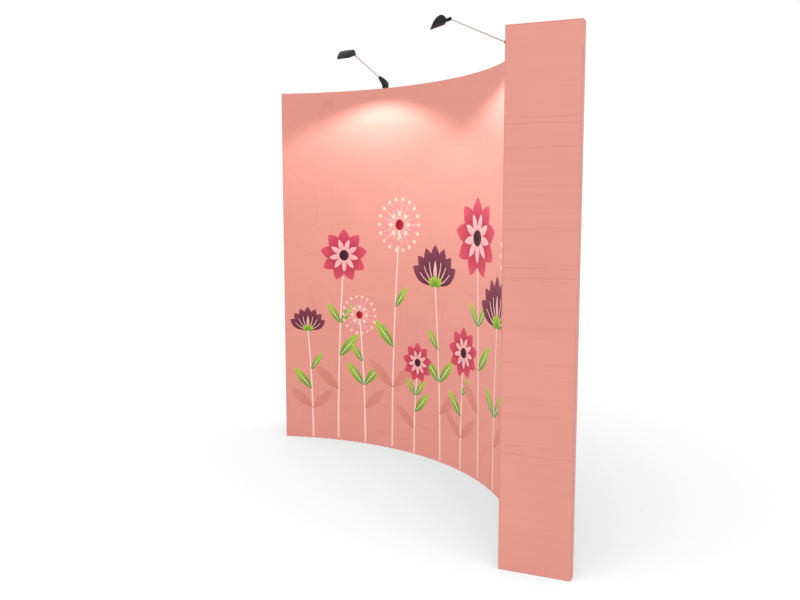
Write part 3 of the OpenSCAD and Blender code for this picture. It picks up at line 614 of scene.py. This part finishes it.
leaves = {
    # share of the stem's height, length, ink
    "levels": [(0.28, 0.22, "shade"), (0.46, 0.20, "leaf"), (0.64, 0.15, "leaf")],
    "grow": 0.25,  # share of the length that goes with the plant's height
    "room": 0.07,  # kept free under the flower
    "turnDeg": 48,  # off the stem, and less by turnStepDeg at each level up
    "turnStepDeg": 6,
    "width": 0.3,
    "fullness": 0.95,
    "midrib": (0.8, 0.03),  # its length and width, as shares of the leaf's length
}


def drawLeaves(plant, order):
    height, radius = plant[1], plant[4]
    for level, (share, baseLength, ink) in enumerate(leaves["levels"]):
        if height * (1 - share) < radius + leaves["room"]:
            continue
        length = baseLength * (1 - leaves["grow"] + leaves["grow"] * height)
        for side in (-1, 1):
            if (level + order + (side > 0)) % 3 == 2:  # one leaf in three is left out
                continue
            turnDeg = 90 - side * (leaves["turnDeg"] - leaves["turnStepDeg"] * level)
            root = stemAt(plant, share)
            addPetal(ink, root, turnDeg, length, length * leaves["width"], leaves["fullness"])
            if ink == "leaf":
                ribLength, ribWidth = (length * share for share in leaves["midrib"])
                addPetal("pale", root, turnDeg, ribLength, ribWidth, 1.0)


# sizes in these are shares of the flower's radius
daisy = {
    "petals": 9, "width": 0.5,
    "innerLength": 0.62, "innerWidth": 0.2,
    "eye": 0.2,
    "dots": 8, "dotRing": 0.27, "dot": 0.032, "dotPoints": 8,
}
fan = {
    "order": (0, 6, 1, 5, 2, 4, 3),  # the middle petal is drawn last, over its neighbours
    "firstDeg": 150, "stepDeg": 20,
    "length": 1.06, "shorter": 0.04, "width": 0.4,
    "innerLength": 0.66, "innerWidth": 0.13,
    "calyxDeg": (140, 90, 40), "calyxLength": 0.3, "calyxWidth": 0.24, "calyxFullness": 0.9,
}
globe = {
    "rays": 18, "rayLength": 0.92, "rayWidth": 0.02,
    # radius of a ring of dots, their number, their own radius, ink
    "rings": [(0.42, 8, 0.085, "pale"), (0.68, 13, 0.095, "rose"), (0.95, 18, 0.07, "pale")],
    "dotPoints": 14,
    "eye": 0.2,
}


def drawDaisy(root, radius):
    step = 360 / daisy["petals"]
    for i in range(daisy["petals"]):
        addPetal("crimson", root, 90 + i * step, radius, radius * daisy["width"])
    for i in range(daisy["petals"]):
        turnDeg = 90 + (i + 0.5) * step
        addPetal("rose", root, turnDeg, radius * daisy["innerLength"], radius * daisy["innerWidth"])
    addDisc("plum", root, radius * daisy["eye"], eyeDisc["points"], radius * eyeDisc["reach"])
    for i in range(daisy["dots"]):
        spot = onCircle(root, radius * daisy["dotRing"], math.tau * i / daisy["dots"])
        addDisc("pale", spot, radius * daisy["dot"], daisy["dotPoints"], radius)


def drawFan(root, radius):
    middle = len(fan["order"]) // 2
    for i in fan["order"]:
        turnDeg = fan["firstDeg"] - i * fan["stepDeg"]
        length = radius * (fan["length"] - fan["shorter"] * abs(i - middle))
        addPetal("plum", root, turnDeg, length, radius * fan["width"])
        addPetal("rose", root, turnDeg, radius * fan["innerLength"], radius * fan["innerWidth"], 1.0)
    for turnDeg in fan["calyxDeg"]:
        length, width = radius * fan["calyxLength"], radius * fan["calyxWidth"]
        addPetal("leaf", root, turnDeg, length, width, fan["calyxFullness"])


def drawGlobe(root, radius):
    for i in range(globe["rays"]):
        turnDeg = 360 / globe["rays"] * i
        addPetal("pale", root, turnDeg, radius * globe["rayLength"], radius * globe["rayWidth"], 1.0)
    for ring, (share, count, size, ink) in enumerate(globe["rings"]):
        for i in range(count):
            turn = math.tau * (i + 0.5 * (ring % 2)) / count  # every other ring is half a step on
            spot = onCircle(root, radius * share, turn)
            addDisc(ink, spot, radius * size, globe["dotPoints"], radius)
    addDisc("crimson", root, radius * globe["eye"], eyeDisc["points"], radius * eyeDisc["reach"])


flowerOf = {"daisy": drawDaisy, "fan": drawFan, "globe": drawGlobe}
for plant in plants:
    drawStem(plant)
for order, plant in enumerate(plants):
    drawLeaves(plant, order)
for plant in plants:
    flowerOf[plant[3]](stemAt(plant, 1.0), plant[4])
print("print design drawn:", len(shapes), "shapes")


def cutPrint(flat, cells):  # cuts the outlines into the sheet; says which cells each triangle lies in
    insideOnly, joinGap, withOwners = 1, 1e-6, True
    spots, _, found, _, _, owners = delaunay_2d_cdt(flat, [], cells, insideOnly, joinGap, withOwners)
    return spots, found, owners


def buildPrint():
    low, high = printLow.z, printHigh.z
    columns = [-printHalf, -printHalf + hem] + evenSteps(
        tapeWidth - printHalf, printHalf - tapeWidth, math.radians(wall["columnDeg"]) * faceRadius
    ) + [printHalf - hem, printHalf]
    rows = [low, low + hem] + evenSteps(low + tapeWidth, high - tapeWidth, wall["rowHeight"])
    rows += [high - hem, high]
    flat = [Vector((column, row)) for row in rows for column in columns]
    cells = gridTiles(columns, rows)
    ground = len(cells)
    for shape in shapes:
        cells.append(list(range(len(flat), len(flat) + len(shape[0]))))
        flat += [Vector(p) for p in shape[0]]
    spots, found, owners = cutPrint(flat, cells)

    def insetAt(spot):  # distance from the nearest edge
        return min(printHalf - abs(spot.x), spot.y - low, high - spot.y)

    tiles, looks, ramps = [], [], []
    for tile, owner in zip(found, owners):
        if not owner or min(owner) >= ground:  # outside the cloth
            continue
        inset = insetAt(sum((spots[v] for v in tile), Vector((0, 0))) / len(tile))
        if max(owner) < ground:
            ink, root, way, reach, halfWidth = "coral", (0, 0), (0, 0), 1, 1
        else:  # the shape drawn last is on top
            _, ink, root, way, reach, halfWidth = shapes[max(owner) - ground]
        ink = "hem" if inset < hem else ink
        backLook = len(inkFinishes) if inset < tapeWidth else inkOrder.index(ink) + len(inkOrder)
        tiles.append(list(tile))
        looks.append((inkOrder.index(ink), backLook))
        ramps.append([])
        for v in tile:
            x, y = spots[v].x - root[0], spots[v].y - root[1]
            along = max(0.0, min(1.0, (x * way[0] + y * way[1]) / reach))
            ramps[-1].append((along, (y * way[0] - x * way[1]) / halfWidth, 0.0))
    face, back = [], []
    for spot in spots:
        lift = hemRaise if insetAt(spot) < hem * within else 0.0
        face.append(onArc(spot.x, spot.y, faceRadius - lift))
        back.append(onArc(spot.x, spot.y, faceRadius + cloth))
    return wrapCloth("print_skin", face, back, tiles, looks, ramps, inkOrder.index("hem"),
                     inkFinishes + [loopTape])


printSkin = buildPrint()
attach(printSkin, "wall")
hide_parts("front_graphic")
print("print skin:", len(printSkin.data.polygons), "faces")

# ---- end caps and return strips ----
cap = {
    "creases": [  # height of each level pull mark, and how strong it is, both in its lift and in its painted shade
        (0.475, 0.35), (0.511, 0.9), (0.549, 0.85), (0.681, 0.3), (0.727, 0.35), (0.897, 0.35),
        (1.038, 0.25), (1.050, 0.3), (1.087, 0.25), (1.117, 0.25), (1.235, 0.5), (1.247, 1.0),
        (1.287, 0.75), (1.303, 0.3), (1.446, 0.95), (1.472, 0.25), (1.582, 0.3), (1.620, 0.3),
        (1.671, 0.3), (1.710, 0.25), (1.768, 1.0), (1.862, 0.9), (1.889, 0.95),
    ],
    "creaseMm": 2.6,  # half width of a pull mark
    "creaseLiftMm": 0.35,
    "creaseRowMm": 1.3,  # mesh rows over a pull mark, so many on each side of its middle
    "creaseRows": 5,
    "strayMm": 2.0,  # how far a pull mark strays from level
    "strayPhase": (2.1, 4.0),  # from one mark to the next, and across the cap
    "fade": 0.2,  # share of a pull mark's strength that comes and goes along it
    "fadePhase": (1.0, 3.0),
}
strip = {
    "clothMm": 0.9,  # one layer, glued on
    "border": (0.001, 0.002),  # it has no hem or tape, only closer mesh rows along its edges
}


def creaseAt(height, across):  # across the cap from 0 to 1
    total = 0.0
    for order, (level, strength) in enumerate(cap["creases"]):
        strayTurn, fadeTurn = (
            step * order + run * across for step, run in (cap["strayPhase"], cap["fadePhase"])
        )
        middle = level + cap["strayMm"] / 1000 * math.sin(strayTurn)
        gap = (height - middle) / (cap["creaseMm"] / 1000)
        faded = strength * (1 - cap["fade"] + cap["fade"] * math.cos(fadeTurn))
        total += faded * math.exp(-gap * gap)
    return min(total, 1.0)


def buildFlatCloth(name, place, low, high, outAxis, outSign, isCap):
    # a flat cloth between two corners of a frame; it faces along one axis of it
    wide = 1 - outAxis
    edge, tape = (hem, tapeWidth) if isCap else strip["border"]
    heights = set(evenSteps(low.z + tape, high.z - tape, wall["rowHeight"]))
    heights |= {low.z, low.z + edge, high.z - edge, high.z}
    if isCap:
        reach, step = cap["creaseRows"], cap["creaseRowMm"] / 1000
        heights |= {level + step * i for level, _ in cap["creases"] for i in range(-reach, reach + 1)}
    rows = sorted(heights)
    columns = [low[wide], low[wide] + edge]
    columns += evenSteps(low[wide] + tape, high[wide] - tape, wall["columnWidth"])
    columns += [high[wide] - edge, high[wide]]
    outer, inner = (high[outAxis], low[outAxis]) if outSign > 0 else (low[outAxis], high[outAxis])
    face, back, shades = [], [], []
    for row in rows:
        for column in columns:
            inset = min(column - low[wide], high[wide] - column, row - low.z, high.z - row)
            shade, lift = 0.0, 0.0
            if isCap and inset < edge * within:
                lift = hemRaise
            elif isCap:
                # a pull mark lifts the cloth, and through the ramp it darkens the colour: painted shade
                shade = creaseAt(row, (column - low[wide]) / (high[wide] - low[wide]))
                lift = cap["creaseLiftMm"] / 1000 * shade
            shades.append(shade)
            for store, level in ((face, outer + outSign * lift), (back, inner)):
                spot = Vector((0, 0, row))
                spot[outAxis], spot[wide] = level, column
                store.append(place @ spot)
    tiles, looks = gridTiles(columns, rows), []
    for tile in tiles:
        row, column = rows[tile[0] // len(columns)], columns[tile[0] % len(columns)]
        topRow, lastColumn = rows[tile[2] // len(columns)], columns[tile[2] % len(columns)]
        inset = min(column - low[wide], high[wide] - lastColumn, row - low.z, high.z - topRow)
        faceLook = "hem" if isCap and inset < edge * within else "face"
        backLook = "tape" if isCap and inset < tape * within else "back"
        looks.append((capLook[faceLook], capLook[backLook]))
    ramps = [[(shades[v], 0.0, 0.0) for v in tile] for tile in tiles]
    rimLook = capLook["hem" if isCap else "face"]
    return wrapCloth(name, face, back, tiles, looks, ramps, rimLook, capFinishes)


for side, hand in ((-1, "left"), (1, "right")):
    place = turnedFrame(side * halfTurn)
    low, high = boxIn(place, "end_cap_" + hand)
    capSkin = buildFlatCloth("end_cap_skin_" + hand, place, low, high, 0, side, True)
    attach(capSkin, "wall")
    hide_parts("end_cap_" + hand)
    low, high = boxIn(place, "return_strip_" + hand)
    high.y = low.y + strip["clothMm"] / 1000
    stripSkin = buildFlatCloth("return_strip_skin_" + hand, place, low, high, 1, 1, False)
    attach(stripSkin, "wall")
    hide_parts("return_strip_" + hand)
print("end caps and strips made")

# ---- small fittings ----
# The profile of a cap or screw is radius and height in mm, and its last two rings are a hexagon socket.
hubCap = {
    "turnDeg": 51.7,  # of the outer columns
    "turnStepDeg": 25.85,
    "rows": (0.04, 2.21),  # hub heights, lowest and highest
    "rowStep": 0.72,
    # a raised rim, a shallow dish and a boss with the socket
    "profileMm": [(27.2, -0.5), (27.2, 0.7), (26.6, 1.2), (24.4, 1.2), (23.8, 0.7), (23.4, 0.3),
                  (11.0, 0.3), (10.4, 1.1), (9.8, 1.4), (5.2, 1.4), (4.6, 1.2), (4.6, 0.1)],
    "sides": 36,
}
headScrew = {
    "profileMm": [(2.6, -0.4), (2.6, 0.5), (2.2, 1.0), (1.4, 1.2), (1.2, 1.1), (1.2, 0.3)],
    "sides": 24,
    "placesMm": [(-37, -4), (-84, -5)],  # along the head and up, from the tilt axis
}
louvre = {
    "turnsDeg": (18, 34, 50, 66, 82),  # round the head's rounded back
    "halfLengthMm": 25,
    "profileMm": [(-1.2, -0.3), (-0.9, 0.5), (0, 0.9), (0.9, 0.5), (1.2, -0.3)],  # across it, and out
    "rings": [(-1, 0.4), (-0.95, 1), (0.95, 1), (1, 0.4)],  # share of the half length, and of the profile
}
head = {
    "neckMm": 25,  # from the tilt axis to where the rounded back starts
    "roundMm": 23.5,  # radius of the rounded back
    "tiltDeg": 20,  # of the rim from level, at rest
}
hexTurn = math.pi / 3  # from one corner of a hexagon to the next
flatShare = 0.87  # of its corners' radius, out to its flats


def addRings(points, faces, rings):  # joins rings of equally many points, and closes both ends
    start, size = len(points), len(rings[0])
    points += [point for ring in rings for point in ring]
    starts = [start + size * order for order in range(len(rings))]
    for a, b in zip(starts, starts[1:]):
        faces += [(a + i, a + (i + 1) % size, b + (i + 1) % size, b + i) for i in range(size)]
    faces += [tuple(range(at, at + size)) for at in (starts[0], starts[-1])]


def addLathe(points, faces, place, fitting):  # turns a fitting's profile round the place's Z axis
    rings, profile, sides = [], fitting["profileMm"], fitting["sides"]
    for order, (radius, height) in enumerate(profile):
        turns = [math.tau * i / sides for i in range(sides)]
        reaches = [radius] * sides
        if order >= len(profile) - 2:
            offFlat = [(turn + hexTurn / 2) % hexTurn - hexTurn / 2 for turn in turns]
            reaches = [radius * flatShare / math.cos(off) for off in offFlat]
        ring = [(reach * math.cos(turn), reach * math.sin(turn)) for reach, turn in zip(reaches, turns)]
        rings.append([place @ (Vector((x, y, height)) / 1000) for x, y in ring])
    addRings(points, faces, rings)


def addLouvre(points, faces, place, middleMm, turnDeg):  # a low rib along the rounded back
    turn = math.radians(turnDeg)
    out = Vector((0, math.cos(turn), math.sin(turn)))
    along = Vector((0, -math.sin(turn), math.cos(turn)))
    rings = []
    for share, scale in louvre["rings"]:
        ring = []
        for across, height in louvre["profileMm"]:
            lift = height * scale if height > 0 else height
            spotMm = middleMm + out * (head["roundMm"] + lift) + along * across * scale
            spotMm.x = share * louvre["halfLengthMm"]
            ring.append(place @ (spotMm / 1000))
        rings.append(ring)
    addRings(points, faces, rings)


def headFrame(hand):  # at the tilt axis: X along it, Z up from the rim
    joint = jointNamed[f"lamp_{hand}_tilt"]
    axis, up = Vector(joint["axis"]).normalized(), Vector((0, 0, 1))
    base = Matrix((axis, up.cross(axis), up)).transposed().to_4x4()
    tilt = Matrix.Rotation(math.radians(head["tiltDeg"]), 4, "X")
    return Matrix.Translation(joint["pos_m"]) @ base @ tilt


def finishFitting(name, points, faces, slot, body):
    piece = addPiece(name, points, faces, finishes[slot][:1])
    piece.modifiers.new("weld", "WELD").merge_threshold = edges["weldMm"] / 1000
    piece.modifiers.new("smooth curves", "NODES").node_group = smoothing
    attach(piece, body)


points, faces = [], []
outwards = Matrix.Rotation(math.radians(-90), 4, "X")  # Z to the turned frame's Y
columnTurns = evenSteps(-hubCap["turnDeg"], hubCap["turnDeg"], hubCap["turnStepDeg"])
for number, turnDeg in enumerate(columnTurns, 1):
    place = turnedFrame(math.radians(turnDeg))
    rearFace = boxIn(place, f"hubs_column_{number}")[1].y
    for row in evenSteps(*hubCap["rows"], hubCap["rowStep"]):
        addLathe(points, faces, place @ Matrix.Translation((0, rearFace, row)) @ outwards, hubCap)
finishFitting("hub_caps", points, faces, "hub_plastic", "wall")

for hand in ("left", "right"):
    place = headFrame(hand)
    low, high = boxIn(place, f"lamp_{hand}_head")
    points, faces = [], []
    for side, sideFace in ((-1, low.x), (1, high.x)):
        sideways = Matrix.Rotation(side * math.radians(90), 4, "Y")
        for along, above in headScrew["placesMm"]:
            spot = Vector((sideFace, along / 1000, above / 1000))
            addLathe(points, faces, place @ Matrix.Translation(spot) @ sideways, headScrew)
    finishFitting(f"lamp_{hand}_head_screws", points, faces, "lamp_casting", f"lamp_{hand}_head")
    points, faces = [], []
    middleMm = Vector((0, -head["neckMm"] - head["roundMm"], high.z * 1000 - head["roundMm"]))
    for turnDeg in louvre["turnsDeg"]:
        addLouvre(points, faces, place, middleMm, turnDeg)
    finishFitting(f"lamp_{hand}_louvres", points, faces, "lamp_casting", f"lamp_{hand}_head")
print("small fittings made")

# ---- light and floor ----
studio = {
    "worldStrength": 1.18,
    "worldWhite": 1.02,  # where the camera sees it, just over white
    "floorHex": "#BFBFBF",
    "floorHalf": 30,
    "floorWhite": 1.1,  # open floor, just over white
    "shadowDepth": 0.635,  # how much darker the floor is where nothing but the object is above it
    "shadowReach": 4.0,
    "shadowLean": (0.3, -0.3, 0.9),  # which way the floor looks for cover: shadows fall the other way
}
pool = {  # the beam of one floodlight
    "watts": 17.5,
    "spreadDeg": 127.5,
    "blend": 0.35,
    "sourceRadius": 0.012,
    "drop": 0.004,  # below the lens
}


def addShownRays(tree):  # 1 for the rays that look at the background, straight or in a reflection
    rays = addNode(tree, "ShaderNodeLightPath")
    direct = addNode(tree, "ShaderNodeMath", {
        0: rays.outputs["Is Camera Ray"], 1: rays.outputs["Is Glossy Ray"],
    }, operation="MAXIMUM")
    return addNode(tree, "ShaderNodeMath", {
        0: direct.outputs[0], 1: rays.outputs["Is Transmission Ray"],
    }, operation="MAXIMUM").outputs[0]


def buildFloor():  # a pale sweep that fades to white away from the object
    material, tree, _ = newMaterial("pale_sweep")
    shader = addNode(tree, "ShaderNodeBsdfPrincipled", {
        "Base Color": linear(studio["floorHex"]), "Roughness": 0.9, "Specular IOR Level": 0.1,
    })
    lean = addNode(tree, "ShaderNodeCombineXYZ", dict(enumerate(studio["shadowLean"])))
    cover = addNode(tree, "ShaderNodeAmbientOcclusion",
                    {"Distance": studio["shadowReach"], "Normal": lean.outputs[0]}, samples=16)
    white = studio["floorWhite"]
    strength = addNode(tree, "ShaderNodeMapRange", {
        0: cover.outputs["AO"], 1: 0.0, 2: 1.0, 3: white * (1 - studio["shadowDepth"]), 4: white,
    })
    glow = addNode(tree, "ShaderNodeEmission", {"Strength": strength.outputs[0]})
    mixed = addNode(tree, "ShaderNodeMixShader", {
        0: addShownRays(tree), 1: shader.outputs[0], 2: glow.outputs[0],
    })
    addNode(tree, "ShaderNodeOutputMaterial", {"Surface": mixed.outputs[0]})
    half = studio["floorHalf"]
    corners = [(-half, -half, 0), (half, -half, 0), (half, half, 0), (-half, half, 0)]
    addPiece("floor", corners, [(0, 1, 2, 3)], [material])


def buildWorld():  # an even white room, just white where it shows and a little brighter as a light
    world = bpy.data.worlds.new("studio")
    bpy.context.scene.world = world
    world.use_nodes = True
    tree = world.node_tree
    tree.nodes.clear()
    strength = addNode(tree, "ShaderNodeMapRange", {
        0: addShownRays(tree), 3: studio["worldStrength"], 4: studio["worldWhite"],
    })
    background = addNode(tree, "ShaderNodeBackground", {
        "Color": (1, 1, 1, 1), "Strength": strength.outputs[0],
    })
    addNode(tree, "ShaderNodeOutputWorld", {"Surface": background.outputs[0]})


def buildPoolLight(hand):  # the floodlight's own beam, which makes the bright pool on the print
    low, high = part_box(f"lamp_{hand}_lens")
    data = bpy.data.lights.new("pool_" + hand, "SPOT")
    data.energy = pool["watts"]
    data.spot_size = math.radians(pool["spreadDeg"])
    data.spot_blend = pool["blend"]
    data.shadow_soft_size = pool["sourceRadius"]
    light = bpy.data.objects.new("pool_" + hand, data)
    light.location = ((low.x + high.x) / 2, (low.y + high.y) / 2, low.z - pool["drop"])
    bpy.context.scene.collection.objects.link(light)
    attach(light, f"lamp_{hand}_head")


buildFloor()
buildWorld()
for hand in ("left", "right"):
    buildPoolLight(hand)
bpy.context.scene.view_settings.view_transform = "Standard"
print("light and floor made")
